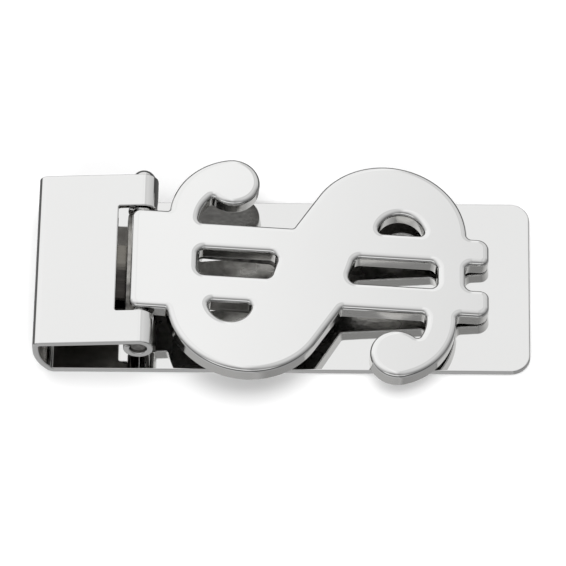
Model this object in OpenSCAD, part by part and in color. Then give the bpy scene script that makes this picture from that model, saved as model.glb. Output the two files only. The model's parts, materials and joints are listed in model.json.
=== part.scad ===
// Hinged money clip: a folded spring-metal clip with a cast dollar-sign arm.
// Millimetres. X runs from the fold to the free end, Y across, Z up.
// Origin: middle of the back plate's underside (half of the overall length, half of the width).

/* [Clip body] */
// Overall length, from the fold to the free end
clip_len = 50.8; // [46:0.2:56]
// Width of the folded sheet
clip_w = 20.5; // [19:0.1:22]
// Sheet thickness
sheet_t = 0.65; // [0.6:0.01:0.7]
// Corner radius at the free end of the back plate
free_corner_r = 2.0; // [0.5:0.1:4]
// Height at which the fold starts to curve under
fold_h = 3.9; // [3.7:0.05:4.0]
// Outer radius where the fold meets the back plate
fold_foot_r = 1.07; // [0.9:0.01:1.3]
// Turn of the large fold curve, in degrees
fold_turn = 40; // [35:1:45]
// Outer radius of the crease between the fold and the flap
crease_r = 0.85; // [0.75:0.01:1]
// Rise of the flap towards the hinge, in degrees
flap_rise = 3.1; // [2:0.1:4]
// Width of the notch between the two hinge ears
notch_w = 12.75; // [12.4:0.05:13]
// Distance from the pin axis to the bottom of the notch
notch_depth = 2.47; // [2.4:0.01:2.8]

/* [Hinge] */
// Distance of the pin axis from the fold
pin_from_fold = 10.8; // [10.4:0.1:11.2]
// Height of the pin axis
pin_h = 4.48; // [4.4:0.01:4.6]
// Diameter of the pin's shank
pin_d = 1.70; // [1.6:0.01:1.8]
// Radial running clearance of the pin in its bores
pin_clear = 0.03; // [0.02:0.01:0.06]
// Radial interference of the pressed end of the pin
press_fit = 0.01; // [0.005:0.005:0.02]
// Radius of the pin's domed head
head_r = 1.3; // [1.15:0.05:1.4]
// Height of the pin's domed head
head_h = 1.15; // [0.9:0.05:1.25]

/* [Dollar arm] */
// Fall of the arm towards the free end when shut, in degrees
arm_fall = 5.72; // [5.5:0.01:5.9]
// Thickness of the casting
arm_t = 1.85; // [1.75:0.01:1.88]
// Height of the arm's top face above the pin axis, square to the face
arm_top = 1.65; // [1.62:0.01:1.8]
// Distance from the pin axis to the middle of the dollar sign, along the arm
glyph_from_pin = 18.1; // [17.9:0.05:18.3]
// Sideways place of the arm between the ears
arm_y = 0; // [-0.3:0.05:0.3]
// Width of the hinge tab
tab_w = 11.9; // [11.4:0.1:12]
// Length of the hinge tab behind the pin axis
tab_back = 1.12; // [1:0.01:1.3]
// Rounding of the tab's top rear edge
tab_nose_r = 0.5; // [0.5:0.05:0.7]
// Chamfer at the tab's rear corners
tab_chamfer = 0.5; // [0.2:0.1:1]
// Distance from the pin axis to each flat of the hinge cam
cam_flat = 1.5; // [1.4:0.05:1.55]
// Rounding of the cam's corner between its two flats
cam_corner_r = 0.5; // [0.4:0.05:0.7]

// Depth of the gripping rib under the bars, at its hinge end
rib_start = 0.35; // [0.2:0.05:0.5]
// Depth of the gripping rib at its free end
rib_end = 1.0; // [0.6:0.05:1.1]

/* [Dollar sign] */
// Half-length of the dollar sign, with its bars
glyph_half = 17.75; // [17.5:0.05:17.9]
// Outer radius of the two bowls
bowl_r = 8.3; // [8.1:0.05:8.4]
// Outer radius of the far hook
far_hook_r = 7.4; // [7.3:0.05:7.5]
// Outer radius of the near hook
near_hook_r = 7.5; // [7.3:0.05:7.6]
// Inner radius of the far hook
far_inner_r = 4.19; // [4.1:0.01:4.3]
// Inner radius of the near hook
near_inner_r = 4.35; // [4.2:0.05:4.5]
// Radius of the ball at the end of the far hook
far_ball_r = 2.79; // [2.6:0.01:2.9]
// Radius of the ball at the end of the near hook
near_ball_r = 2.82; // [2.7:0.01:3]
// Inner edge of each bar, from the middle line
bar_in = 1.55; // [1.45:0.01:1.65]
// Outer edge of each bar, from the middle line
bar_out = 4.73; // [4.65:0.01:4.8]

/* [Leaf spring] */
// Width of the spring strip
spring_w = 6.5; // [6:0.1:7]
// Thickness of the spring strip
spring_t = 0.45; // [0.35:0.05:0.5]
// Gap between the shut cam and the spring
spring_gap = 0.02; // [0.01:0.01:0.05]

/* [Hidden] */
fine = 64;
eps = 0.01;
x_fold = -clip_len / 2;
x_free = clip_len / 2;
x_pin = x_fold + pin_from_fold;
bore_r = pin_d / 2 + pin_clear;
knuckle_r = bore_r + sheet_t;
ear_w = (clip_w - notch_w) / 2;
ear_y = (clip_w + notch_w) / 4;
// large fold curve: its radius follows from the drop it has to make
fold_big_r = (fold_h - fold_foot_r * (1 - sin(fold_turn))) / sin(fold_turn);
fold_big_c = [x_fold + fold_big_r, fold_h];
foot_x = x_fold + fold_big_r * (1 - cos(fold_turn)) + fold_foot_r * cos(fold_turn);
fold_foot_c = [foot_x, fold_foot_r];
// the flap's top line is tangent to the rolled knuckles
flap_start = [x_pin - knuckle_r * sin(flap_rise), pin_h + knuckle_r * cos(flap_rise)];
crease_x = x_fold + crease_r;
crease_z = flap_start[1] - (flap_start[0] - crease_x) * tan(flap_rise) - crease_r / cos(flap_rise);
crease_c = [crease_x, crease_z];
// dollar sign, in its own plane, centred on its middle; the near half is drawn turned half round
bowl_c = [7.16, 4.72];
far_hook_c = [-8.0, 5.45];
far_inner_c = [-8.23, 4.86];
far_ball_turn = 101.8;
near_hook_c = [-6.9, 5.33];
near_ball_turn = 107.8;
near_window_inner = [3.0, 3.9];
far_window_inner = [3.9, 4.8];
window_end = 12.4;
far_small_window = [8.63, 2.42]; // place along the bar, radius
near_small_window = [8.94, 2.3];
diagonal_foot_x = -2.55;
diagonal_turn = 156;
bar_gap_start = 15.3;
corner_r = 1.2;
// gripping rib under the two bars, from near the hinge to the middle of the sign
rib_x = [4.5, 16.6];
rib_w = 9.2;
// spring: a hairpin whose upper leg is parallel to the cam's lower flat
spring_bend_x = x_fold + 3.05;
spring_rise = (pin_h - sheet_t) * cos(arm_fall) + (x_pin - spring_bend_x) * sin(arm_fall);
spring_r = (spring_rise - cam_flat - spring_gap) / (1 + cos(arm_fall));
spring_bend_c = [spring_bend_x, sheet_t + spring_r];
spring_foot_len = 6.2;
spring_tip = 1.6;

// n + 1 points of an arc about c, from angle a to angle b
function arc(c, r, a, b, n) =
    [for (i = [0:n]) let (t = a + (b - a) * i / n) c + r * [cos(t), sin(t)]];

// folded sheet seen from the side, before the ears are cut
module sheet_profile() {
    up = [-sin(flap_rise), cos(flap_rise)];
    inner_foot = arc(fold_foot_c, fold_foot_r - sheet_t, 270, 180 + fold_turn, 8);
    inner_big = arc(fold_big_c, fold_big_r - sheet_t, 180 + fold_turn, 180, 12);
    inner_crease = arc(crease_c, crease_r - sheet_t, 180, 90 + flap_rise, 4);
    outer_crease = arc(crease_c, crease_r, 90 + flap_rise, 180, 10);
    outer_big = arc(fold_big_c, fold_big_r, 180, 180 + fold_turn, 12);
    outer_foot = arc(fold_foot_c, fold_foot_r, 180 + fold_turn, 270, 10);
    polygon(concat(
        [[x_free, 0], [x_free, sheet_t]],
        inner_foot, inner_big, inner_crease,
        [flap_start - sheet_t * up, flap_start],
        outer_crease, outer_big, outer_foot
    ));
}

// back plate outline, which rounds the two corners at the free end
module plate_outline() {
    r = free_corner_r;
    translate([x_fold - 1, -clip_w / 2]) square([clip_len + 1 - r, clip_w]);
    translate([x_fold - 1, -clip_w / 2 + r]) square([clip_len + 1, clip_w - 2 * r]);
    for (s = [-1, 1]) translate([x_free - r, s * (clip_w / 2 - r)]) circle(r, $fn = fine);
}

// a solid cylinder along Y, centred on y
module y_rod(r, len, y = 0) {
    translate([x_pin, y, pin_h]) rotate([90, 0, 0]) cylinder(h = len, r = r, center = true, $fn = fine);
}

module clip_body() color([0.84, 0.84, 0.86]) {
    difference() {
        union() {
            intersection() {
                translate([0, clip_w / 2, 0]) rotate([90, 0, 0]) linear_extrude(clip_w) sheet_profile();
                translate([0, 0, -1]) linear_extrude(pin_h + 4) plate_outline();
            }
            for (s = [-1, 1]) y_rod(knuckle_r, ear_w, s * ear_y);
        }
        translate([x_pin - notch_depth, -notch_w / 2, pin_h - knuckle_r - 1])
            cube([notch_depth + knuckle_r + 1, notch_w, 2 * knuckle_r + 2]);
        y_rod(bore_r, clip_w + 2);
    }
}

// one hook of radius r about c, hollowed by inner_r about inner_c, with a ball, at the top left of the sign
module hook(c, r, inner_c, inner_r, ball, turn) {
    end = c + (r - ball) * [cos(turn), sin(turn)];
    difference() {
        translate(c) circle(r, $fn = fine);
        translate(inner_c) circle(inner_r, $fn = fine);
        translate([end[0], -r]) square([2 * r, 4 * r]);
        translate([-3 * r, -2 * r]) square([6 * r, 2 * r]);
    }
    translate(end) circle(ball, $fn = fine);
}

// one bowl, with the straight diagonal that leaves it towards the bar
module bowl() {
    translate(bowl_c) circle(bowl_r, $fn = fine);
    touch = bowl_c + (bowl_r - 0.1) * [cos(diagonal_turn), sin(diagonal_turn)];
    polygon([[diagonal_foot_x, bar_out], touch, bowl_c, [bowl_c[0], 0], [diagonal_foot_x, 0]]);
}

// one stub, which is the bar's free end with a rounded outer corner
module bar() {
    translate([-glyph_half + 3, bar_in]) square([2 * glyph_half - 3 - corner_r, bar_out - bar_in]);
    translate([glyph_half - corner_r - eps, bar_in]) square([corner_r + eps, bar_out - bar_in - corner_r]);
    translate([glyph_half - corner_r, bar_out - corner_r]) circle(corner_r, $fn = fine);
}

// the window between the two bars, on the right; inner holds its two inner corners
module middle_window(inner) {
    polygon([
        [inner[0], -bar_in], [window_end, -bar_in],
        [window_end, bar_in], [inner[1], bar_in]
    ]);
}

// the small half-round window in a bowl, on the bar's outer edge
module small_window(size) {
    intersection() {
        translate([size[0], bar_out]) circle(size[1], $fn = fine);
        translate([0, bar_out]) square([20, 10]);
    }
}

module dollar_outline() {
    difference() {
        union() {
            hook(far_hook_c, far_hook_r, far_inner_c, far_inner_r, far_ball_r, far_ball_turn);
            rotate(180)
                hook(near_hook_c, near_hook_r, near_hook_c, near_inner_r, near_ball_r, near_ball_turn);
            for (a = [0, 180]) rotate(a) bowl();
            bar();
            mirror([0, 1]) bar();
            translate([-bar_gap_start, -bar_in - eps])
                square([2 * bar_gap_start, 2 * bar_in + 2 * eps]);
        }
        middle_window(near_window_inner);
        rotate(180) middle_window(far_window_inner);
        small_window(far_small_window);
        rotate(180) small_window(near_small_window);
    }
}

// hinge tab outline, from behind the pin to inside the dollar sign
module tab_outline() {
    x0 = -glyph_from_pin - tab_back;
    x1 = x0 + 5.6;
    y = tab_w / 2;
    c = tab_chamfer;
    polygon([[x0 + c, -y], [x1, -y], [x1, y], [x0 + c, y], [x0, y - c], [x0, c - y]]);
}

// cam around the pin, seen from the side with the arm level: flats below and behind
module cam_profile() {
    r = cam_corner_r;
    translate([-cam_flat, -cam_flat + r]) square([2 * cam_flat, cam_flat - r]);
    circle(cam_flat, $fn = fine);
    translate([-cam_flat + r, -cam_flat]) square([2 * cam_flat - 2 * r, cam_flat]);
    for (s = [-1, 1]) translate([s * (cam_flat - r), -cam_flat + r]) circle(r, $fn = fine);
}

// gripping rib seen from the side, under the level arm
module rib_profile() {
    under = arm_top - arm_t;
    polygon([
        [rib_x[0], under + 0.5], [rib_x[0], under - rib_start],
        [rib_x[1], under - rib_end], [rib_x[1], under + 0.5]
    ]);
}

// the whole arm in its own frame: level, with the pin axis at the origin
module level_arm() {
    difference() {
        union() {
            translate([glyph_from_pin, 0, arm_top - arm_t]) linear_extrude(arm_t) {
                dollar_outline();
                tab_outline();
            }
            translate([0, tab_w / 2, 0]) rotate([90, 0, 0]) linear_extrude(tab_w) cam_profile();
            intersection() {
                translate([glyph_from_pin, 0, arm_top - arm_t - 2]) linear_extrude(3) dollar_outline();
                translate([0, rib_w / 2, 0]) rotate([90, 0, 0]) linear_extrude(rib_w) rib_profile();
            }
        }
        // quarter-round along the rear top edge, so that it swings past the notch
        difference() {
            translate([-tab_back - 1, -tab_w, arm_top - tab_nose_r])
                cube([1 + tab_nose_r, 2 * tab_w, tab_nose_r + 1]);
            translate([-tab_back + tab_nose_r, 0, arm_top - tab_nose_r])
                rotate([90, 0, 0]) cylinder(h = 3 * tab_w, r = tab_nose_r, center = true, $fn = fine);
        }
    }
}

module dollar_arm() color([0.88, 0.88, 0.89]) {
    difference() {
        translate([x_pin, arm_y, pin_h]) rotate([0, arm_fall, 0]) level_arm();
        y_rod(bore_r, clip_w);
    }
}

// pin with a domed head on the far side and a pressed, dished end on the near side
module hinge_pin() color([0.78, 0.78, 0.8]) {
    half = clip_w / 2;
    end_recess = 0.3;
    dish_r = 0.5;
    dome_r = (head_r * head_r + head_h * head_h) / (2 * head_h);
    translate([x_pin, 0, pin_h]) rotate([-90, 0, 0]) difference() {
        union() {
            translate([0, 0, -half + ear_w]) cylinder(h = clip_w - ear_w, r = pin_d / 2, $fn = fine);
            translate([0, 0, -half + end_recess])
                cylinder(h = ear_w - end_recess - 0.4, r = bore_r + press_fit, $fn = fine);
            translate([0, 0, -half + ear_w - 0.5]) cylinder(h = 1, r = pin_d / 2, $fn = fine);
            intersection() {
                translate([0, 0, half]) cylinder(h = head_h + 1, r = head_r, $fn = fine);
                translate([0, 0, half + head_h - dome_r]) sphere(dome_r, $fn = fine);
            }
        }
        translate([0, 0, -half + end_recess - 0.25]) sphere(dish_r, $fn = fine);
    }
}

// hairpin strip seen from the side: foot on the plate, bend in the fold, leg under the cam
module spring_profile() {
    down = [-sin(arm_fall), -cos(arm_fall)];
    along = [cos(arm_fall), -sin(arm_fall)];
    tip = [x_pin, pin_h] + (cam_flat + spring_gap) * down + spring_tip * along;
    foot = [spring_bend_x + spring_foot_len, sheet_t];
    polygon(concat(
        [foot + [0, spring_t], foot],
        arc(spring_bend_c, spring_r, 270, 90 - arm_fall, 20),
        [tip, tip + spring_t * down],
        arc(spring_bend_c, spring_r - spring_t, 90 - arm_fall, 270, 20)
    ));
}

module leaf_spring() color([0.6, 0.6, 0.6]) {
    translate([0, spring_w / 2, 0]) rotate([90, 0, 0]) linear_extrude(spring_w) spring_profile();
}

clip_body();
dollar_arm();
hinge_pin();
leaf_spring();
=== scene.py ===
"""Looks of the hinged money clip: polished plated metal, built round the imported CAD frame.

Lengths are millimetres inside the shape code and metres once a mesh is made. The row frame is
X from the fold to the free end, Y across, Z up, with z = 0 under the back plate.
"""
import json
import math

import bmesh
import bpy
import numpy as np
from mathutils import Matrix, Vector, geometry


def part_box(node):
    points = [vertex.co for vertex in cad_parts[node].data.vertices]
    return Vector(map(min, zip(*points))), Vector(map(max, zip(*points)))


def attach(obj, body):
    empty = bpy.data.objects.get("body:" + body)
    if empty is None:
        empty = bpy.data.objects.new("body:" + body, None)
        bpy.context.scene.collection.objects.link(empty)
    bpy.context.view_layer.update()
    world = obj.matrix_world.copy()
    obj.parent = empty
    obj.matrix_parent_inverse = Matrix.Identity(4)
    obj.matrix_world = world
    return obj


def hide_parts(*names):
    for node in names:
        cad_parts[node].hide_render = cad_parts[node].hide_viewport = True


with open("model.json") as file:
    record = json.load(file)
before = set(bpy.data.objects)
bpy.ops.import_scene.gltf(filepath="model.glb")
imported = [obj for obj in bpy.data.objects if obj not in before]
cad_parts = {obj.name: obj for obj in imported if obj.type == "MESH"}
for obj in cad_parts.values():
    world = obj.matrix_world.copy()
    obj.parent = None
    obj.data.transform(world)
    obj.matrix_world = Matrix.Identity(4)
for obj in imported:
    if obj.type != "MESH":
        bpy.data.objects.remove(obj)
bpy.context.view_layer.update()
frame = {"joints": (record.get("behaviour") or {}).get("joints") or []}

MM = 0.001

# ---------------------------------------------------------------- driving sizes, from the frame
BODY_LO, BODY_HI = [np.array(c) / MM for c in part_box("clip_body")]
PIN = np.array(frame["joints"][0]["pos_m"]) / MM
PIN_X, PIN_Z = PIN[0], PIN[2]
X_FOLD, X_FREE = BODY_LO[0], BODY_HI[0]
HALF_W = BODY_HI[1]

SHEET_T = 0.65            # gauge of the folded sheet
BORE_R = 0.88             # bore of the rolled ears and of the arm
FREE_CORNER_R = 2.0       # corners of the back plate's free end
FOLD_H = 3.9              # height where the fold starts to curve under
FOOT_R = 1.07             # outer radius where the fold meets the back plate
FOLD_TURN = 40.0          # turn of the large fold curve, degrees
CREASE_R = 0.85           # outer radius of the crease under the flap
FLAP_RISE = 3.1           # rise of the flap towards the hinge, degrees
NOTCH_HALF = 6.375        # half of the notch between the ears
NOTCH_DEPTH = 2.47        # from the pin axis back to the notch
ROLL_TURN = 300.0         # how far each ear is rolled round the pin, degrees
EAR_FILLET = 0.2          # corners of the ears and the notch
SHEET_EDGE = 0.15         # rounding of the sheet's cut edges; less than EAR_FILLET
POCKET = (-21.0, 3.0)     # a point inside the fold, in X and Z

ARM_FALL = 5.72           # fall of the shut arm towards its free end, degrees
ARM_T = 1.85              # thickness of the casting
ARM_TOP = 1.65            # its top face above the pin axis
GLYPH_X = 18.1            # from the pin axis to the middle of the sign
TAB_HALF = 5.95           # half of the hinge tab's width
TAB_BACK = 1.12           # tab behind the pin axis
CAM_FLAT = 1.5            # from the pin axis to each flat of the cam

GLYPH_HALF = 17.75        # half of the sign's length, stubs included
BOWL_R = 8.3              # outer radius of each bowl
BOWL_C = (7.16, 4.72)     # its centre, from the middle of the sign
BAR_IN, BAR_OUT = 1.55, 4.73   # inner and outer edge of each bar, from the middle line
BAR_GAP = 15.3            # bottom of the gap between the two stubs
WINDOW_END = 12.4         # outer end of each middle window
WINDOW_FILLET, SMALL_FILLET = 0.8, 0.5
TOP_EDGE = (0.66, 0.5)    # rounding of the top face's edge, across and down
RIB_X, RIB_HALF = (4.5, 16.6), 4.6   # gripping rib under the bars, from the pin axis
RIB_DEPTH = (0.35, 1.0)   # how deep it is at its two ends
# the casting's two halves differ a little, so each has its own sizes, as seen from its own top
FAR_HALF = {"hook": (-8.0, 5.45), "r": 7.4, "inner": ((-8.23, 4.86), 4.19),
            "ball": 2.79, "turn": 101.8, "window": (3.9, 4.8), "small": (8.63, 2.42)}
NEAR_HALF = {"hook": (-6.9, 5.33), "r": 7.5, "inner": ((-6.9, 5.33), 4.35),
             "ball": 2.82, "turn": 107.8, "window": (3.0, 3.9), "small": (8.94, 2.3)}

HEAD_R, HEAD_H = 1.3, 1.15     # the pin's domed head
SHANK_R = 0.85
END_RECESS = 0.3          # how far the peened end sits inside the near ear

SPRING_W, SPRING_T = 6.5, 0.45
SPRING_GAP = 0.02         # between the spring's leg and the cam
SPRING_BEND_X = X_FOLD + 3.05
SPRING_FOOT = 6.2         # straight length on the back plate
SPRING_TIP = 1.6          # leg past the pin axis

UPRIGHT = Matrix(((1, 0, 0, 0), (0, 0, -1, 0), (0, 1, 0, 0), (0, 0, 0, 1)))
SQUARE_EDGE = [(0, 0, 0)]


# ---------------------------------------------------------------- plane outlines
class Line:
    """A straight stretch of an outline, walked from p towards q."""

    def __init__(self, p, q):
        self.p = np.array(p, float)
        d = np.array(q, float) - self.p
        self.d = d / np.linalg.norm(d)

    def left(self, by):
        shift = by * np.array([-self.d[1], self.d[0]])
        return Line(self.p + shift, self.p + shift + self.d)

    def foot(self, point):
        return self.p + np.dot(point - self.p, self.d) * self.d

    def walk(self, start, end, step):
        n = max(1, math.ceil(np.linalg.norm(end - start) / step["line"]))
        out = np.array([self.d[1], -self.d[0]])
        return [(start + (end - start) * i / n, out) for i in range(n + 1)]


class Ring:
    """A round stretch of an outline, walked anticlockwise (turn 1) or clockwise (turn -1)."""

    def __init__(self, c, r, turn=1):
        self.c, self.r, self.turn = np.array(c, float), r, turn

    def left(self, by):
        return Ring(self.c, self.r - self.turn * by, self.turn)

    def foot(self, point):
        d = point - self.c
        return self.c + d * self.r / np.linalg.norm(d)

    def walk(self, start, end, step):
        a = math.atan2(*(start - self.c)[::-1])
        sweep = (math.atan2(*(end - self.c)[::-1]) - a) * self.turn % (2 * math.pi)
        n = max(2, math.ceil(sweep / step["arc"]))
        points = []
        for i in range(n + 1):
            t = a + self.turn * sweep * i / n
            out = np.array([math.cos(t), math.sin(t)])
            points.append((self.c + self.r * out, self.turn * out))
        return points


def meet(a, b, near):
    """Where two stretches cross, or come closest, at the crossing nearest to the point near."""
    if isinstance(a, Line) and isinstance(b, Line):
        m = np.array([a.d, -b.d]).T
        return a.p + np.linalg.solve(m, b.p - a.p)[0] * a.d
    if isinstance(a, Line):
        a, b = b, a
    if isinstance(b, Line):
        foot = b.foot(a.c)
        half = math.sqrt(max(0.0, a.r ** 2 - np.sum((foot - a.c) ** 2)))
        found = [foot + half * b.d, foot - half * b.d]
    else:
        d = b.c - a.c
        gap = np.linalg.norm(d)
        along = (gap ** 2 + a.r ** 2 - b.r ** 2) / (2 * gap)
        half = math.sqrt(max(0.0, a.r ** 2 - along ** 2))
        side = np.array([-d[1], d[0]]) / gap
        found = [a.c + along * d / gap + half * side, a.c + along * d / gap - half * side]
    return min(found, key=lambda p: np.linalg.norm(p - np.array(near)))


def outline(stretches, arc=2.0, line=99.0):
    """Points and outward normals of a closed outline with its material on the left.

    Each stretch is (Line or Ring, corner to the next one, fillet radius, turn). The turn is 1 where
    the walk bends left and -1 where it bends right. A filleted corner only picks which crossing of
    the two is meant, so it may be rough. A fillet of 0 joins two tangent stretches. A Ring can't
    start and end at one point: a full circle comes from bore_outline.
    """
    step = {"arc": math.radians(arc), "line": line}
    joins = []
    for i, (s, corner, r, turn) in enumerate(stretches):
        nxt = stretches[(i + 1) % len(stretches)][0]
        if r == 0:
            joins.append((np.array(corner, float), np.array(corner, float), None))
            continue
        centre = meet(s.left(turn * r), nxt.left(turn * r), corner)
        joins.append((s.foot(centre), nxt.foot(centre), Ring(centre, r, turn)))
    rows = []
    for i, (s, *_rest) in enumerate(stretches):
        rows += s.walk(joins[i - 1][1], joins[i][0], step)[:-1]
        end, start, fillet = joins[i]
        if fillet is not None:
            rows += fillet.walk(end, start, {"arc": math.radians(7.5), "line": 99})[:-1]
    points = np.array([p for p, _ in rows])
    normals = np.array([n for _, n in rows])
    return points, normals


def half_turn(loop):
    return -loop[0], -loop[1]


def tangent_point(c, r, p, side):
    """Where a line from p touches the circle, to the left (1) or right (-1) of c as seen from p."""
    d = np.array(c, float) - np.array(p, float)
    dist = np.linalg.norm(d)
    a = math.asin(r / dist) * side
    along = math.sqrt(dist ** 2 - r ** 2)
    u = d / dist
    return np.array(p) + along * np.array([u[0] * math.cos(a) - u[1] * math.sin(a),
                                           u[0] * math.sin(a) + u[1] * math.cos(a)])


# ---------------------------------------------------------------- meshes
class Shell:
    """A closed mesh that keeps an exact normal for each vertex."""

    def __init__(self):
        self.v, self.n, self.f = [], [], []

    def add_slab(self, loops, z0, z1, low, high):
        """A flat slab from outline loops.

        low and high list (inset, rise, tilt) rows for its two rounded edges, from the wall to the
        face. The tilt, in radians, is 0 on the wall and a quarter turn on the face.
        """
        caps = {-1: [], 1: []}
        for points, out in loops:
            rows = [(d, z0 + h, -t) for d, h, t in reversed(low)]
            rows += [(d, z1 - h, t) for d, h, t in high]
            first = len(self.v)
            m = len(points)
            for d, z, t in rows:
                level = points - out * d
                for p, o in zip(level, out):
                    self.v.append((p[0], p[1], z))
                    self.n.append((o[0] * math.cos(t), o[1] * math.cos(t), math.sin(t)))
            for k in range(len(rows) - 1):
                a, b = first + k * m, first + (k + 1) * m
                for i in range(m):
                    j = (i + 1) % m
                    self.f.append((a + i, a + j, b + j, b + i))
            caps[-1].append(range(first, first + m))
            caps[1].append(range(first + (len(rows) - 1) * m, first + len(rows) * m))
        for side, rings in caps.items():
            self.add_cap(rings, side)
        return self

    def add_cap(self, rings, side):
        """Fills the flat face between an outer ring and its holes."""
        index = [i for ring in rings for i in ring]
        flat = [Vector(self.v[i][:2]) for i in index]
        edges, start = [], 0
        for ring in rings:
            m = len(ring)
            edges += [(start + i, start + (i + 1) % m) for i in range(m)]
            start += m
        verts, _e, tris, origin, *_more = geometry.delaunay_2d_cdt(flat, edges, [], 1, 1e-6)
        names = [index[o[0]] for o in origin]
        loops = [np.array([self.v[i][:2] for i in ring]) for ring in rings]
        for tri in tris:
            centre = sum((verts[i] for i in tri), Vector((0, 0))) / 3
            inside = sum(winding(loop, centre) for loop in loops) % 2
            if not inside:
                continue
            a, b, c = [names[i] for i in tri]
            self.f.append((a, b, c) if side > 0 else (a, c, b))

    def mesh(self, name):
        me = bpy.data.meshes.new(name)
        me.from_pydata([tuple(x * MM for x in v) for v in self.v], [], self.f)
        store_normals(me, np.array(self.n))
        return me


def winding(loop, p):
    """1 if p lies inside the closed loop, otherwise 0."""
    x, y = loop[:, 0], loop[:, 1]
    x2, y2 = np.roll(x, -1), np.roll(y, -1)
    cross = (y > p[1]) != (y2 > p[1])
    with np.errstate(divide="ignore", invalid="ignore"):
        at = x + (p[1] - y) * (x2 - x) / (y2 - y)
    return int(np.count_nonzero(cross & (p[0] < at)) % 2)


def store_normals(me, vertex_normals):
    """Keeps each vertex's exact normal on the face corners, where cuts and joins carry it along."""
    corner = np.zeros(len(me.loops), np.int64)
    me.loops.foreach_get("vertex_index", corner)
    layer = me.attributes.new("exact_normal", "FLOAT_VECTOR", "CORNER")
    layer.data.foreach_set("vector", vertex_normals[corner].astype(np.float32).ravel())


def stored_normals(me):
    """The layer of stored normals, and its values with one row for each face corner."""
    layer = me.attributes["exact_normal"]
    n = np.zeros(len(me.loops) * 3, np.float32)
    layer.data.foreach_get("vector", n)
    return layer, n.reshape(-1, 3)


def take_normals(me):
    """Sets the mesh's custom normals from the stored ones, and drops the store."""
    layer, n = stored_normals(me)
    length = np.linalg.norm(n, axis=1, keepdims=True)
    n = n / np.where(length < 1e-6, 1, length)
    me.attributes.remove(layer)
    me.polygons.foreach_set("use_smooth", np.ones(len(me.polygons), bool))
    me.normals_split_custom_set([tuple(x) for x in n])
    me.update()


def rounded(across, rise, steps=6):
    """Rows (inset, rise, tilt) of a quarter-ellipse edge, from the wall to the face."""
    rows = []
    for i in range(steps + 1):
        a = math.pi / 2 * i / steps
        tilt = math.atan2(math.sin(a) / rise, math.cos(a) / across)
        rows.append((across * (1 - math.cos(a)), rise * (1 - math.sin(a)), tilt))
    return rows


def make_object(me, name, materials):
    ob = bpy.data.objects.new(name, me)
    bpy.context.scene.collection.objects.link(ob)
    for m in materials:
        me.materials.append(m)
    return ob


def boolean(ob, other, operation):
    """Joins or cuts ob with the closed mesh other, exactly, and removes other."""
    mod = ob.modifiers.new("cut", "BOOLEAN")
    mod.operation, mod.solver, mod.object = operation, "EXACT", other
    dg = bpy.context.evaluated_depsgraph_get()
    me = bpy.data.meshes.new_from_object(ob.evaluated_get(dg))
    ob.modifiers.clear()
    old = ob.data
    if len(me.vertices) == len(old.vertices):
        raise RuntimeError(f"{operation} with {other.name} left {ob.name} as it was")
    ob.data = me
    bpy.data.meshes.remove(old)
    gone = other.data
    bpy.data.objects.remove(other)
    bpy.data.meshes.remove(gone)


# ---------------------------------------------------------------- folding a flat strip
class Fold:
    """A path in the XZ plane of straight runs and clockwise bends, round which a strip is folded."""

    def __init__(self, start, heading, thickness):
        self.p, self.h = np.array(start, float), math.radians(heading)
        self.t = thickness
        self.s, self.parts, self.cuts = 0.0, [], []

    def run(self, length):
        self.parts.append((self.s, "run", self.p.copy(), self.h, length))
        self.p = self.p + length * np.array([math.cos(self.h), math.sin(self.h)])
        self.s += length
        return self

    def bend(self, outer_r, degrees, step=4.0):
        """Turns right by degrees, where outer_r is the radius of the sheet's outer face."""
        r, a = outer_r - self.t / 2, math.radians(degrees)
        centre = self.p + r * np.array([math.sin(self.h), -math.cos(self.h)])
        self.parts.append((self.s, "bend", centre, self.h, r))
        n = max(2, math.ceil(degrees / step))
        self.cuts += [self.s + r * a * i / n for i in range(n + 1)]
        self.h -= a
        self.p = centre + r * np.array([-math.sin(self.h), math.cos(self.h)])
        self.s += r * a
        return self

    def at(self, s):
        """Middle of the sheet, heading and outward direction at length s along the path."""
        part = [q for q in self.parts if q[0] <= s + 1e-9][-1] if s > 0 else self.parts[0]
        s0, kind, where, h, size = part
        if kind == "run":
            d = np.array([math.cos(h), math.sin(h)])
            return where + (s - s0) * d, d, np.array([-d[1], d[0]])
        h = h - (s - s0) / size
        d = np.array([math.cos(h), math.sin(h)])
        out = np.array([-d[1], d[0]])
        return where + size * out, d, out

    def wrap(self, shell, name):
        """The shell, drawn flat with X as length and Y across, cut at every bend step and folded."""
        me = shell.mesh(name)
        bm = bmesh.new()
        bm.from_mesh(me)
        for s in sorted(self.cuts):
            parts = bm.verts[:] + bm.edges[:] + bm.faces[:]
            bmesh.ops.bisect_plane(bm, geom=parts, dist=1e-7,
                                   plane_co=(s * MM, 0, 0), plane_no=(1, 0, 0))
        bm.to_mesh(me)
        bm.free()
        layer, flat = stored_normals(me)
        spots = [self.at(v.co.x / MM) for v in me.vertices]
        corner = np.zeros(len(me.loops), np.int64)
        me.loops.foreach_get("vertex_index", corner)
        along = np.array([[d[0], 0, d[1]] for _, d, _ in spots])[corner]
        out = np.array([[o[0], 0, o[1]] for _, _, o in spots])[corner]
        across = np.array([[0, 1.0, 0]])
        n = along * flat[:, :1] + across * flat[:, 1:2] + out * flat[:, 2:]
        layer.data.foreach_set("vector", n.astype(np.float32).ravel())
        for v, (mid, _d, o) in zip(me.vertices, spots):
            x, z = mid * MM + o * v.co.z
            v.co = (x, v.co.y, z)
        me.update()
        return me


def face_outwards(me):
    """Turns the mesh right side out by its stored normals: a fold that heads along -X mirrors it."""
    _layer, n = stored_normals(me)
    vote = sum(float(p.normal.dot(Vector(n[p.loop_start]))) * p.area for p in me.polygons)
    if vote < 0:
        me.flip_normals()


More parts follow.
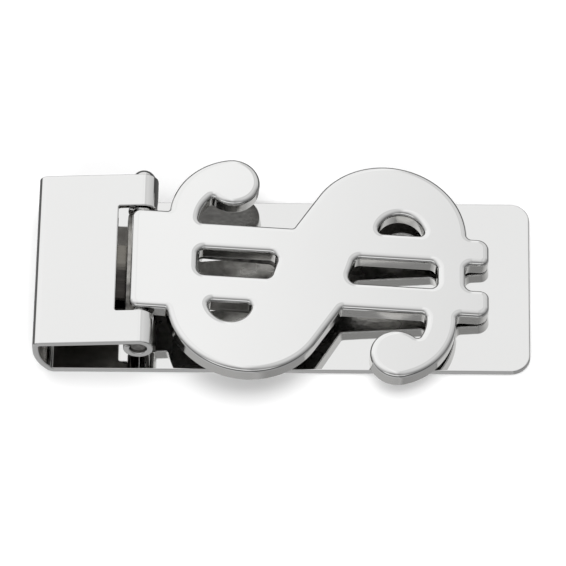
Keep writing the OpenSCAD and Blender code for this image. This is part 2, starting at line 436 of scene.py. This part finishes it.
def finish_piece(me, name, body, replaces, materials):
    face_outwards(me)
    take_normals(me)
    ob = make_object(me, name, materials)
    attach(ob, body)
    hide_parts(replaces)
    return ob


# ---------------------------------------------------------------- materials
def new_material(name, colour, roughness):
    mat = bpy.data.materials.new(name)
    mat.use_nodes = True
    tree = mat.node_tree
    shader = tree.nodes["Principled BSDF"]
    shader.inputs["Base Color"].default_value = (*colour, 1)
    shader.inputs["Metallic"].default_value = 1.0
    shader.inputs["Roughness"].default_value = roughness
    return mat, tree, shader


def noise(tree, scale, detail=3.0, stretch=(1, 1, 1)):
    """Fine noise in object space; scale is in features per metre."""
    place = tree.nodes.new("ShaderNodeTexCoord")
    mapping = tree.nodes.new("ShaderNodeMapping")
    mapping.inputs["Scale"].default_value = stretch
    tree.links.new(place.outputs["Object"], mapping.inputs["Vector"])
    tex = tree.nodes.new("ShaderNodeTexNoise")
    tex.inputs["Scale"].default_value = scale
    tex.inputs["Detail"].default_value = detail
    tree.links.new(mapping.outputs["Vector"], tex.inputs["Vector"])
    return tex.outputs["Fac"]


def span(tree, value, low, high, start=0.0, stop=1.0):
    """Maps a value from start..stop to low..high."""
    node = tree.nodes.new("ShaderNodeMapRange")
    node.inputs["From Min"].default_value = start
    node.inputs["From Max"].default_value = stop
    node.inputs["To Min"].default_value = low
    node.inputs["To Max"].default_value = high
    tree.links.new(value, node.inputs["Value"])
    return node.outputs["Result"]


def combine(tree, operation, a, b):
    node = tree.nodes.new("ShaderNodeMath")
    node.operation = operation
    for socket, value in zip(node.inputs, (a, b)):
        if isinstance(value, (int, float)):
            socket.default_value = value
        else:
            tree.links.new(value, socket)
    return node.outputs["Value"]


def bump(tree, shader, height, strength, distance, normal=None):
    node = tree.nodes.new("ShaderNodeBump")
    node.inputs["Strength"].default_value = strength
    node.inputs["Distance"].default_value = distance
    tree.links.new(height, node.inputs["Height"])
    if normal is not None:
        tree.links.new(normal, node.inputs["Normal"])
    tree.links.new(node.outputs["Normal"], shader.inputs["Normal"])
    return node.outputs["Normal"]


def tint(tree, shader, value, low, high):
    """Lets the base colour drift between two near colours."""
    mix = tree.nodes.new("ShaderNodeMix")
    mix.data_type = "RGBA"
    mix.inputs["A"].default_value = (*low, 1)
    mix.inputs["B"].default_value = (*high, 1)
    tree.links.new(value, mix.inputs["Factor"])
    tree.links.new(mix.outputs["Result"], shader.inputs["Base Color"])


def polished_plate(name, colour, wave, dull=0.035):
    """Bright plated metal: a mirror with faint buffing lines, slight waviness and thin smears."""
    mat, tree, shader = new_material(name, colour, dull)
    darker = tuple(c * 0.975 for c in colour)
    tint(tree, shader, noise(tree, 60.0), darker, colour)
    smears = noise(tree, 140.0, 5.0, (1, 2.5, 1))
    tree.links.new(span(tree, smears, dull * 0.7, dull * 1.8, 0.3, 0.75), shader.inputs["Roughness"])
    buffing = noise(tree, 900.0, 4.0, (1, 14, 1))
    ripple = noise(tree, 160.0, 1.0)
    first = bump(tree, shader, buffing, 0.05, 0.00001)
    bump(tree, shader, ripple, wave, 0.0001, first)
    return mat


def cast_underside(name, dark, light):
    """Unpolished metal on hidden faces: plated over a sandy skin, with dull and brighter patches. On
    the arm's underside and barrel its colours are darkened with painted shade.
    """
    mat, tree, shader = new_material(name, light, 0.3)
    patches = span(tree, noise(tree, 150.0, 2.0, (1, 1.6, 1)), 0.0, 1.0, 0.42, 0.56)
    grain = span(tree, noise(tree, 1500.0, 4.0), 0.0, 1.0, 0.3, 0.7)
    both = combine(tree, "MULTIPLY_ADD", grain, 0.35)
    tree.links.new(combine(tree, "MULTIPLY", patches, 0.65), both.node.inputs[2])
    tint(tree, shader, both, dark, light)
    tree.links.new(span(tree, patches, 0.42, 0.25), shader.inputs["Roughness"])
    bump(tree, shader, noise(tree, 2600.0, 6.0), 0.6, 0.00008)
    return mat


def spring_steel(name, colour, painted_shade):
    """Rolled spring strip: satin lines along its length, slightly warm, with painted shade darkening
    its near half.
    """
    mat, tree, shader = new_material(name, colour, 0.22)
    lines = noise(tree, 700.0, 4.0, (0.6, 16, 0.6))
    place = tree.nodes.new("ShaderNodeTexCoord")
    axes = tree.nodes.new("ShaderNodeSeparateXYZ")
    tree.links.new(place.outputs["Object"], axes.inputs["Vector"])
    # mask of the painted shade: darkest on the near half, lifting to the full colour 1.2 mm past the
    # middle
    across = span(tree, axes.outputs["Y"], 0.0, 1.0, 0.0, 0.0012)
    fleck = span(tree, lines, -0.25, 0.25, 0.3, 0.7)
    tint(tree, shader, combine(tree, "ADD", across, fleck), painted_shade, colour)
    tree.links.new(span(tree, lines, 0.16, 0.32), shader.inputs["Roughness"])
    bump(tree, shader, lines, 0.25, 0.00003)
    return mat


SHEET_METAL = polished_plate("plated_sheet", (0.78, 0.78, 0.775), 0.012)
SHEET_INSIDE = cast_underside("sheet_inside", (0.5, 0.48, 0.45), (0.75, 0.73, 0.7))
ARM_METAL = polished_plate("plated_casting", (0.79, 0.79, 0.785), 0.03)
ARM_SIDE = polished_plate("casting_sides", (0.77, 0.765, 0.75), 0.06, 0.12)
# dark tone partly the cast finish and partly painted shade under the arm
ARM_UNDER_CAST_AND_SHADE = cast_underside("cast_underside", (0.2, 0.195, 0.185), (0.66, 0.65, 0.63))
# very dark colours: painted shade on the barrel, the low ledge and the tab's rear
ARM_BARREL_PAINTED_SHADE = cast_underside("cast_barrel_painted_shade", (0.05, 0.048, 0.045), (0.4, 0.39, 0.37))
PIN_METAL = polished_plate("plated_pin", (0.74, 0.74, 0.735), 0.05, 0.05)
PIN_END = cast_underside("peened_end", (0.12, 0.115, 0.11), (0.8, 0.79, 0.77))
# the second colour is painted shade on the spring's near half
SPRING_METAL = spring_steel("spring_steel", (0.2, 0.19, 0.17), (0.035, 0.032, 0.03))


# ---------------------------------------------------------------- the folded body
def body_outline(length, notch_start):
    """The flat strip: its free end at length 0, and a notch that leaves two ears at the other."""
    w, e, f = HALF_W, FREE_CORNER_R, EAR_FILLET
    stretches = [
        (Line((0, w), (0, -w)), (0, -w), e, 1),
        (Line((0, -w), (length, -w)), (length, -w), f, 1),
        (Line((length, -w), (length, 0)), (length, -NOTCH_HALF), f, 1),
        (Line((length, -NOTCH_HALF), (0, -NOTCH_HALF)), (notch_start, -NOTCH_HALF), f, -1),
        (Line((notch_start, -NOTCH_HALF), (notch_start, 0)), (notch_start, NOTCH_HALF), f, -1),
        (Line((notch_start, NOTCH_HALF), (length, NOTCH_HALF)), (length, NOTCH_HALF), f, 1),
        (Line((length, NOTCH_HALF), (length, w)), (length, w), f, 1),
        (Line((length, w), (0, w)), (0, w), e, 1),
    ]
    return outline(stretches, arc=3.0)


def build_body():
    t = SHEET_T
    turn = math.radians(FOLD_TURN)
    big_r = (FOLD_H - FOOT_R * (1 - math.sin(turn))) / math.sin(turn)
    foot_x = X_FOLD + big_r * (1 - math.cos(turn)) + FOOT_R * math.cos(turn)
    knuckle_r = BORE_R + t
    rise = math.radians(FLAP_RISE)
    flap_end = np.array([PIN_X - knuckle_r * math.sin(rise), PIN_Z + knuckle_r * math.cos(rise)])
    crease_x = X_FOLD + CREASE_R
    crease_z = flap_end[1] - (flap_end[0] - crease_x) * math.tan(rise) - CREASE_R / math.cos(rise)
    flap_up = np.array([-math.sin(rise), math.cos(rise)])
    flap_start = np.array([crease_x, crease_z]) + CREASE_R * flap_up
    fold = Fold((X_FREE, t / 2), 180, t)
    fold.run(X_FREE - foot_x).bend(FOOT_R, 90 - FOLD_TURN).bend(big_r, FOLD_TURN, 2.0)
    fold.run(crease_z - FOLD_H).bend(CREASE_R, 90 - FLAP_RISE)
    flap_at = fold.s
    fold.run(np.linalg.norm(flap_end - flap_start)).bend(knuckle_r, ROLL_TURN)
    notch_x = PIN_X - NOTCH_DEPTH
    notch_start = flap_at + (notch_x - flap_start[0]) / math.cos(rise)
    loop = body_outline(fold.s, notch_start)
    edge = rounded(SHEET_EDGE, SHEET_EDGE)
    shell = Shell().add_slab([loop], -t / 2, t / 2, edge, edge)
    me = fold.wrap(shell, "clip_body_sheet")
    finish_piece(me, "folded_body", "clip", "clip_body",
                 [SHEET_METAL, SHEET_INSIDE])
    for p in me.polygons:
        n, c = p.normal, p.center / MM
        faces_in = n.x * (c.x - POCKET[0]) + n.z * (c.z - POCKET[1]) < 0
        in_fold = c.x < PIN_X - NOTCH_DEPTH and c.z > 1.5
        p.material_index = int(faces_in and abs(n.y) < 0.5 and in_fold)


# ---------------------------------------------------------------- the dollar arm
def flipped(stretch):
    """The stretch turned half round about the sign's middle."""
    if isinstance(stretch, Line):
        return Line(-stretch.p, -stretch.p - stretch.d)
    return Ring(-stretch.c, stretch.r, stretch.turn)


def half_outline(size):
    """From the bar's edge at the right, round the bowl, the mouth and the ball, to the hook."""
    g, o = GLYPH_HALF, BAR_OUT
    centre = np.array(size["hook"])
    turn = math.radians(size["turn"])
    away = np.array([math.cos(turn), math.sin(turn)])
    ball_c = centre + (size["r"] - size["ball"]) * away
    (inner_x, _y), inner_r = size["inner"]
    hook, inner = Ring(centre, size["r"]), Ring(*size["inner"], -1)
    foot = (-2.55, o)
    touch = tangent_point(BOWL_C, BOWL_R, foot, 1)
    mouth_end = (inner_x - inner_r, o)
    cusp = ball_c + (-2.3, -2.0)
    return [
        (Line((g, o), (0, o)), (15.46, o), 0.5, -1),
        (Ring(BOWL_C, BOWL_R), touch, 0, 1),
        (Line(touch, foot), foot, 0.4, -1),
        (Line(foot, mouth_end), mouth_end, 0.5, -1),
        (inner, cusp, 0.4, -1),
        (Ring(ball_c, size["ball"]), centre + size["r"] * away, 0, 1),
        (hook, (centre[0] - size["r"], o), 0.5, -1),
    ]


def arm_outline():
    """The sign and its hinge tab as one outline, centred on the sign, walked anticlockwise."""
    g, i, o = GLYPH_HALF, BAR_IN, BAR_OUT
    rear, tab = -GLYPH_X - TAB_BACK, TAB_HALF
    far = half_outline(FAR_HALF)
    near = [(flipped(s), (-c[0], -c[1]), r, turn) for s, c, r, turn in half_outline(NEAR_HALF)]
    tab_part = [
        (far[-1][0], (-15.42, tab), 0.35, -1),
        (Line((-10, tab), (rear, tab)), (rear, tab), 0.9, 1),
        (Line((rear, tab), (rear, -tab)), (rear, -tab), 0.9, 1),
        (Line((rear, -tab), (0, -tab)), (-15.37, -tab), 0.35, -1),
    ]
    right_end = [
        (Line((0, -o), (g, -o)), (g, -o), 1.2, 1),
        (Line((g, -o), (g, -i)), (g, -i), 0.85, 1),
        (Line((g, -i), (BAR_GAP, -i)), (BAR_GAP, -i), 0.7, -1),
        (Line((BAR_GAP, -i), (BAR_GAP, i)), (BAR_GAP, i), 0.7, -1),
        (Line((BAR_GAP, i), (g, i)), (g, i), 0.85, 1),
        (Line((g, i), (g, o)), (g, o), 1.2, 1),
    ]
    return outline(far[:-1] + tab_part + near[1:] + right_end)


def windows():
    """The four openings inside the sign, walked clockwise."""
    i, end = BAR_IN, WINDOW_END
    found = []
    for size, half in ((NEAR_HALF, False), (FAR_HALF, True)):
        inner = size["window"]
        middle = outline([
            (Line((inner[0], -i), (inner[1], i)), (inner[1], i), WINDOW_FILLET, -1),
            (Line((inner[1], i), (end, i)), (end, i), WINDOW_FILLET, -1),
            (Line((end, i), (end, -i)), (end, -i), WINDOW_FILLET, -1),
            (Line((end, -i), (inner[0], -i)), (inner[0], -i), WINDOW_FILLET, -1),
        ])
        found.append(half_turn(middle) if half else middle)
    for size, half in ((FAR_HALF, False), (NEAR_HALF, True)):
        x, r = size["small"]
        small = outline([
            (Ring((x, BAR_OUT), r, -1), (x + r, BAR_OUT), SMALL_FILLET, -1),
            (Line((x + 1, BAR_OUT), (x - 1, BAR_OUT)), (x - r, BAR_OUT), SMALL_FILLET, -1),
        ], arc=4.0)
        found.append(half_turn(small) if half else small)
    return found


def cam_outline():
    """The barrel round the pin, seen from the side: round behind, with flats below and at the rear."""
    c, top = CAM_FLAT, ARM_TOP - ARM_T + 0.5
    return outline([
        (Line((-c, 0), (-c, -c)), (-c, -c), 0.5, 1),
        (Line((-c, -c), (c, -c)), (c, -c), 0.5, 1),
        (Line((c, -c), (c, top)), (c, top), 0.2, 1),
        (Line((c, top), (-1, top)), (-1.47, top), 0.1, 1),
        (Ring((0, 0), c), (-c, 0), 0, 1),
    ], arc=4.0)


def bore_outline(radius, sides=60):
    """A full circle whose normals face its axis, as the wall of a bore does."""
    a = np.arange(sides) * 2 * np.pi / sides
    out = np.column_stack([np.cos(a), np.sin(a)])
    return out * radius, -out


def build_rib():
    """The rib under the two bars, which deepens away from the hinge and grips the notes."""
    (x0, x1), half, under = RIB_X, RIB_HALF, ARM_TOP - ARM_T
    slope = (RIB_DEPTH[1] - RIB_DEPTH[0]) / (x1 - x0)
    edge = outline([
        (Line((x0, -half), (x1, -half)), (x1, -half), 0.4, 1),
        (Line((x1, -half), (x1, half)), (x1, half), 0.4, 1),
        (Line((x1, half), (x0, half)), (x0, half), 0.4, 1),
        (Line((x0, half), (x0, -half)), (x0, -half), 0.4, 1),
    ])
    points, normals = windows()[1]
    hole = (points + (GLYPH_X, 0) - normals * 0.02, normals)
    low = rounded(0.1, 0.1, 3)
    slab = Shell().add_slab([edge, hole], under - RIB_DEPTH[0], under + 1.4, low, SQUARE_EDGE)
    me = slab.mesh("rib")
    me.transform(Matrix(((1, 0, 0, 0), (0, 1, 0, 0), (-slope, 0, 1, slope * x0 * MM), (0, 0, 0, 1))))
    return make_object(me, "rib", [])


def arm_material(p):
    """Which of the arm's materials a face takes, by where it lies in the arm's own frame."""
    top, under_face, barrel, wall = range(4)
    c, under = p.center / MM, ARM_TOP - ARM_T
    if p.normal.z < -0.9:
        return under_face
    # faces behind the tab, on the low ledge and below the slab take the barrel material, painted dark
    # as shade
    behind_tab = c.x < -TAB_BACK - 0.01
    ledge = p.normal.z > 0.9 and c.z < under + 0.6
    if behind_tab or ledge or c.z < under - 0.05:
        return barrel
    return wall if abs(p.normal.z) < 0.1 else top


def build_arm():
    """The sign and tab as one slab, joined to the barrel and the rib, then bored for the pin."""
    top_edge = rounded(*TOP_EDGE, 10)
    low_edge = rounded(0.12, 0.12, 4)
    loops = [arm_outline(), *windows()]
    slab = Shell().add_slab(loops, ARM_TOP - ARM_T, ARM_TOP, low_edge, top_edge)
    me = slab.mesh("dollar_slab")
    me.transform(Matrix.Translation((GLYPH_X * MM, 0, 0)))
    arm = make_object(me, "dollar_sign_arm", [])
    half = TAB_HALF - 0.06
    side = rounded(0.1, 0.1, 3)
    barrel = Shell().add_slab([cam_outline()], -half, half, side, side).mesh("barrel")
    turn_mesh(barrel, UPRIGHT)
    boolean(arm, make_object(barrel, "barrel", []), "UNION")
    boolean(arm, build_rib(), "UNION")
    reach = TAB_HALF + 3.05
    rod = Shell().add_slab([bore_outline(BORE_R)], -reach, reach, SQUARE_EDGE, SQUARE_EDGE)
    rod = rod.mesh("bore")
    turn_mesh(rod, UPRIGHT)
    boolean(arm, make_object(rod, "bore", []), "DIFFERENCE")
    me = arm.data
    bpy.data.objects.remove(arm)
    kinds = [arm_material(p) for p in me.polygons]
    shut = Matrix.Rotation(math.radians(ARM_FALL), 4, "Y")
    turn_mesh(me, Matrix.Translation(Vector((PIN_X, 0, PIN_Z)) * MM) @ shut)
    finish_piece(me, "dollar_sign_arm", "arm", "dollar_arm",
                 [ARM_METAL, ARM_UNDER_CAST_AND_SHADE, ARM_BARREL_PAINTED_SHADE, ARM_SIDE])
    for p, kind in zip(me.polygons, kinds):
        p.material_index = kind


def turn_mesh(me, matrix):
    """Moves a mesh and turns its stored normals with it."""
    layer, n = stored_normals(me)
    turned = n @ np.array(matrix.to_3x3(), np.float32).T
    me.transform(matrix)
    layer.data.foreach_set("vector", turned.astype(np.float32).ravel())


# ---------------------------------------------------------------- pin and spring
def build_pin():
    """A lathe shape: domed head, shank, and a peened end that sits just inside the near ear."""
    head_r, head_h, shank, half = HEAD_R, HEAD_H, SHANK_R, HALF_W
    dome_r = (head_r ** 2 + head_h ** 2) / (2 * head_h)
    profile = []
    for k in range(13):
        a = math.asin(head_r / dome_r) * k / 12
        profile.append((dome_r * math.sin(a) * 0.985, half + head_h - dome_r * (1 - math.cos(a))))
    rim = profile[-1][1]
    profile += [(head_r, rim + 0.02), (head_r, half + 0.03), (head_r - 0.04, half), (shank, half)]
    end = -half + END_RECESS
    profile += [(shank, end + 0.2), (shank - 0.03, end + 0.08), (shank - 0.12, end + 0.01)]
    # the rim of the peened end, and the dish inside it
    profile += [(0.62, end), (0.5, end + 0.04), (0.42, end + 0.12), (0.3, end + 0.2)]
    profile += [(0.15, end + 0.24), (0.0, end + 0.25)]
    around = 96
    bm = bmesh.new()
    rings = []
    for r, y in profile:
        if r < 1e-9:
            rings.append([bm.verts.new((0, y * MM, 0))])
            continue
        ring = []
        for i in range(around):
            a = 2 * math.pi * i / around
            ring.append(bm.verts.new((r * MM * math.cos(a), y * MM, r * MM * math.sin(a))))
        rings.append(ring)
    for one, two in zip(rings, rings[1:]):
        for i in range(around):
            j = (i + 1) % around
            if len(one) == 1:
                bm.faces.new((one[0], two[j], two[i]))
            elif len(two) == 1:
                bm.faces.new((one[i], one[j], two[0]))
            else:
                bm.faces.new((one[i], one[j], two[j], two[i]))
    bmesh.ops.recalc_face_normals(bm, faces=bm.faces)
    me = bpy.data.meshes.new("hinge_pin_turned")
    bm.to_mesh(me)
    bm.free()
    me.transform(Matrix.Translation((PIN_X * MM, 0, PIN_Z * MM)))
    me.polygons.foreach_set("use_smooth", np.ones(len(me.polygons), bool))
    for p in me.polygons:
        p.material_index = int(p.center.y < (0.8 - half) * MM)
    ob = make_object(me, "domed_pin", [PIN_METAL, PIN_END])
    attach(ob, "clip")
    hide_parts("hinge_pin")


def build_spring():
    """A hairpin of strip: foot on the back plate, bend in the fold, leg under the cam."""
    t, fall = SPRING_T, math.radians(ARM_FALL)
    lift = (PIN_Z - SHEET_T) * math.cos(fall) + (PIN_X - SPRING_BEND_X) * math.sin(fall)
    r = (lift - CAM_FLAT - SPRING_GAP) / (1 + math.cos(fall))
    tip_along = (PIN_X - SPRING_BEND_X) * math.cos(fall) - (PIN_Z - SHEET_T - r) * math.sin(fall)
    tip_along += SPRING_TIP
    fold = Fold((SPRING_BEND_X + SPRING_FOOT, SHEET_T + t / 2), 180, t)
    fold.run(SPRING_FOOT).bend(r, 180 + ARM_FALL, 5.0).run(tip_along)
    half = SPRING_W / 2
    corners = [(0, half), (0, -half), (fold.s, -half), (fold.s, half)]
    loop = outline([(Line(a, b), b, 0.5, 1) for a, b in zip(corners, corners[1:] + corners[:1])])
    edge = rounded(0.06, 0.06, 3)
    shell = Shell().add_slab([loop], -t / 2, t / 2, edge, edge)
    me = fold.wrap(shell, "spring_strip")
    finish_piece(me, "hairpin_spring", "clip", "leaf_spring", [SPRING_METAL])


# ---------------------------------------------------------------- stage
ELEVATION, YAW, ROLL = 57.5, 2.154, -1.426   # degrees
DISTANCE = 0.56161        # metres from the origin to the camera
FOCAL_PER_WIDTH = 9.590   # focal length in sensor widths
SHIFT = (-0.00124, 0.01069)


def camera_axes():
    e, y, r = [math.radians(a) for a in (ELEVATION, YAW, ROLL)]
    back = Vector((math.sin(y) * math.cos(e), -math.cos(y) * math.cos(e), math.sin(e)))
    right = Vector((math.cos(y), math.sin(y), 0))
    up = back.cross(right)
    return right * math.cos(r) + up * math.sin(r), up * math.cos(r) - right * math.sin(r), back


def build_camera():
    right, up, back = camera_axes()
    data = bpy.data.cameras.new("camera")
    data.sensor_width = 36.0
    data.lens = FOCAL_PER_WIDTH * data.sensor_width
    data.shift_x, data.shift_y = SHIFT
    data.clip_start, data.clip_end = 0.01, 50
    cam = bpy.data.objects.new("camera", data)
    place = Matrix((right, up, back)).transposed().to_4x4()
    place.translation = back * DISTANCE
    cam.matrix_world = place
    bpy.context.scene.collection.objects.link(cam)
    bpy.context.scene.camera = cam


def build_floor():
    me = bpy.data.meshes.new("floor")
    s = 4.0
    me.from_pydata([(-s, -s, 0), (s, -s, 0), (s, s, 0), (-s, s, 0)], [], [(0, 1, 2, 3)])
    mat = bpy.data.materials.new("studio_floor")
    mat.use_nodes = True
    tree = mat.node_tree
    shader = tree.nodes["Principled BSDF"]
    shader.inputs["Roughness"].default_value = 0.9
    shader.inputs["Specular IOR Level"].default_value = 0.1
    tint(tree, shader, noise(tree, 8.0), (0.9, 0.9, 0.9), (0.905, 0.905, 0.905))
    floor = make_object(me, "floor", [mat])
    floor.visible_glossy = False


def build_lamps():
    """Two softboxes, above and low in front, that light the floor but aren't mirrored in the metal."""
    for name, place, size, power in (("softbox_top", (0, 0.1, 0.7), (0.9, 0.7), 3.0),
                                     ("softbox_front", (0, -0.7, 0.45), (1.2, 0.4), 6.0)):
        data = bpy.data.lights.new(name, "AREA")
        data.shape = "RECTANGLE"
        data.size, data.size_y = size
        data.energy = power
        lamp = bpy.data.objects.new(name, data)
        lamp.location = place
        lamp.rotation_euler = (-Vector(place)).to_track_quat("-Z", "Y").to_euler()
        lamp.visible_glossy = False
        bpy.context.scene.collection.objects.link(lamp)


def grey_ramp(tree, value, low, high, stops):
    """Maps a value in low..high to a grey through (value, grey) stops."""
    ramp = tree.nodes.new("ShaderNodeValToRGB")
    tree.links.new(span(tree, value, 0.0, 1.0, low, high), ramp.inputs["Fac"])
    points = ramp.color_ramp.elements
    while len(points) < len(stops):
        points.new(1.0)
    for point, (at, grey) in zip(points, stops):
        point.position = (at - low) / (high - low)
        point.color = (grey, grey, grey, 1)
    return ramp.outputs["Color"]


def blend(tree, factor, a, b):
    """a where the factor is 0, b where it is 1."""
    mix = tree.nodes.new("ShaderNodeMix")
    mix.data_type = "RGBA"
    tree.links.new(factor, mix.inputs["Factor"])
    tree.links.new(a, mix.inputs["A"])
    tree.links.new(b, mix.inputs["B"])
    return mix.outputs["Result"]


def build_world():
    """A white studio: bright above and behind, dark at the horizon and on the camera's side.

    A low strip of light stands in front, and a dim patch where the camera is.
    """
    world = bpy.data.worlds.new("studio")
    world.use_nodes = True
    bpy.context.scene.world = world
    tree = world.node_tree
    sky = tree.nodes["Background"]
    place = tree.nodes.new("ShaderNodeTexCoord")
    axes = tree.nodes.new("ShaderNodeSeparateXYZ")
    tree.links.new(place.outputs["Generated"], axes.inputs["Vector"])
    x, y, z = axes.outputs["X"], axes.outputs["Y"], axes.outputs["Z"]
    side = grey_ramp(tree, z, -1.0, 1.0, [(-1.0, 0.42), (-0.5, 0.45), (-0.1, 0.55), (-0.03, 0.12),
                                          (0.04, 0.12), (0.12, 0.3), (0.29, 0.52), (0.6, 0.8),
                                          (0.77, 0.95), (0.87, 1.0)])
    back = grey_ramp(tree, z, -1.0, 1.0, [(-1.0, 0.3), (-0.7, 0.16), (-0.04, 0.1), (0.02, 0.12),
                                          (0.08, 0.9), (0.3, 1.0), (0.8, 1.02), (0.9, 0.98)])
    behind = span(tree, y, 0.0, 1.0, 0.25, 0.5)
    height = blend(tree, behind, side, back)
    depth = grey_ramp(tree, y, -1.0, 1.0, [(-0.9, 0.32), (-0.5, 0.5), (-0.3, 0.64),
                                           (-0.05, 0.9), (0.2, 1.0)])
    below = span(tree, z, 1.0, 0.0, -0.05, 0.0)
    room = combine(tree, "MULTIPLY", height, combine(tree, "MAXIMUM", depth, below))
    front = combine(tree, "ARCTAN2", z, combine(tree, "MULTIPLY", y, -1.0))
    strip = grey_ramp(tree, front, 0.0, 3.2, [(0.42, 0.0), (0.52, 1.0), (0.72, 1.0), (0.8, 0.0)])
    width = grey_ramp(tree, combine(tree, "ABSOLUTE", x, 0.0), 0.0, 1.0, [(0.5, 1.0), (0.75, 0.0)])
    light = combine(tree, "MAXIMUM", room, combine(tree, "MULTIPLY", strip, width))
    light = combine(tree, "MAXIMUM", light, 0.09)
    across = grey_ramp(tree, x, -1.0, 1.0, [(-0.2, 0.95), (0.03, 0.9), (0.13, 0.98),
                                            (0.23, 0.66), (0.45, 0.72), (0.85, 0.6)])
    light = combine(tree, "MULTIPLY", light, across)
    lens = tree.nodes.new("ShaderNodeVectorMath")
    lens.operation = "DOT_PRODUCT"
    lens.inputs[1].default_value = camera_axes()[2]
    tree.links.new(place.outputs["Generated"], lens.inputs[0])
    cos = [math.cos(math.radians(a)) for a in (18, 10)]
    dark = grey_ramp(tree, lens.outputs["Value"], 0.0, 1.0, [(cos[0], 1.0), (cos[1], 0.7)])
    tree.links.new(combine(tree, "MULTIPLY", light, dark), sky.inputs["Color"])
    sky.inputs["Strength"].default_value = 1.14


build_camera()
build_floor()
build_lamps()
build_world()
build_body()
build_arm()
build_pin()
build_spring()

scene = bpy.context.scene
scene.view_settings.view_transform = "Standard"
